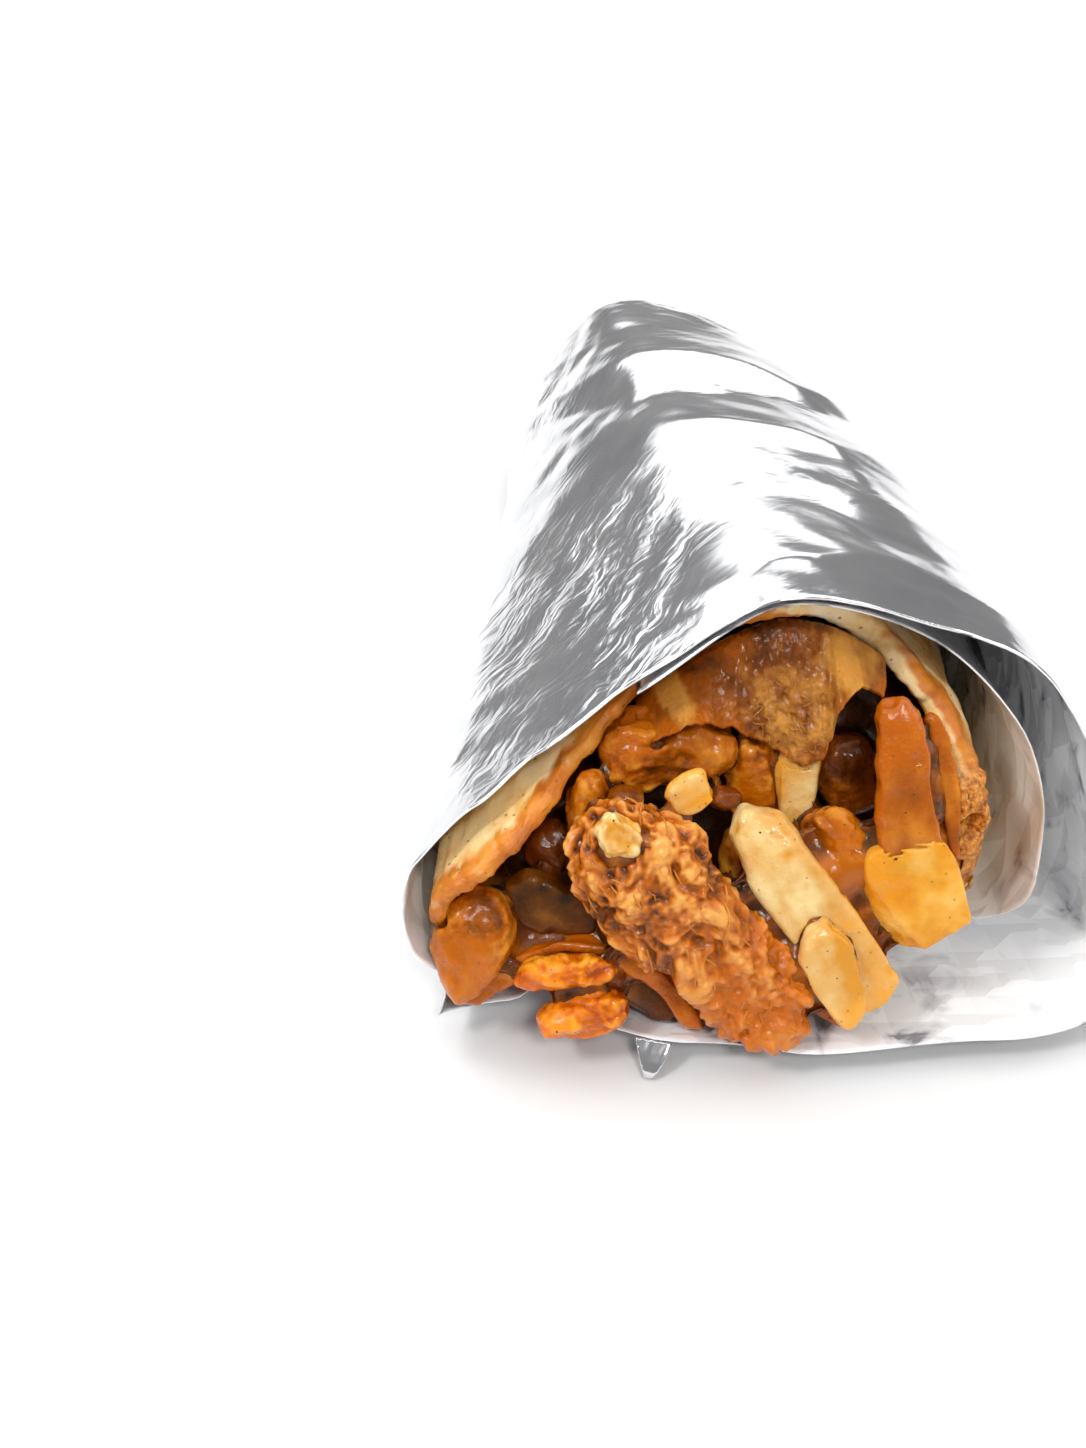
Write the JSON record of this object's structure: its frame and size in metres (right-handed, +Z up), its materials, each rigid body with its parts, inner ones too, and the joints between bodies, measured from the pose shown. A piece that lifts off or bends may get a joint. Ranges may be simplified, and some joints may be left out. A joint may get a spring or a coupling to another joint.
{
  "type": "chicken wrap in foil",
  "caption": "Chicken and onion wrap in pita bread, rolled in paper-lined foil that is open at one end and folded flat at the other.",
  "frame": {"origin": "centre of the bounding box in X and Y, on the surface that the wrap lies on", "axes": "+Y from the open end to the flat folded end, +X to the right seen from the open end, +Z up"},
  "size_m": [0.107, 0.2204, 0.0619],
  "materials": {
    "foil": "satin foil over white paper",
    "bread": "soft baked bread",
    "bread_crumb": "torn crumb side, stained by sauce",
    "filling": "wet with sauce",
    "chicken": "glazed with sauce",
    "onion": "wet, cooked",
    "onion_sauced": "glazed with sauce",
    "onion_browned": "wet, browned",
    "potato": "glazed with sauce",
    "vegetable": "wet, cooked"
  },
  "bodies": {
    "root": {"foil_wrap": "foil", "foil_tab": "foil", "pita_bread": "bread", "pita_inner_layer": "bread_crumb", "filling_core": "filling", "chicken_main": "chicken", "chicken_bit": "chicken", "chicken_top": "chicken", "chicken_right": "chicken", "chicken_low_right": "chicken", "chicken_small": "chicken", "chicken_middle": "chicken", "chicken_back": "chicken", "chicken_back_right": "chicken", "chicken_left": "chicken", "chicken_back_left": "chicken", "chicken_lobe": "chicken", "onion_center": "onion", "onion_front": "onion", "onion_lower": "onion", "onion_upper": "onion", "onion_pale_bit": "onion", "onion_tall": "onion_sauced", "onion_inner": "onion_sauced", "onion_arch": "onion_sauced", "onion_brown": "onion_browned", "onion_low_dark": "onion_browned", "potato_right": "potato", "vegetable_orange_upper": "vegetable", "vegetable_orange_lower": "vegetable"}
  },
  "joints": []
}
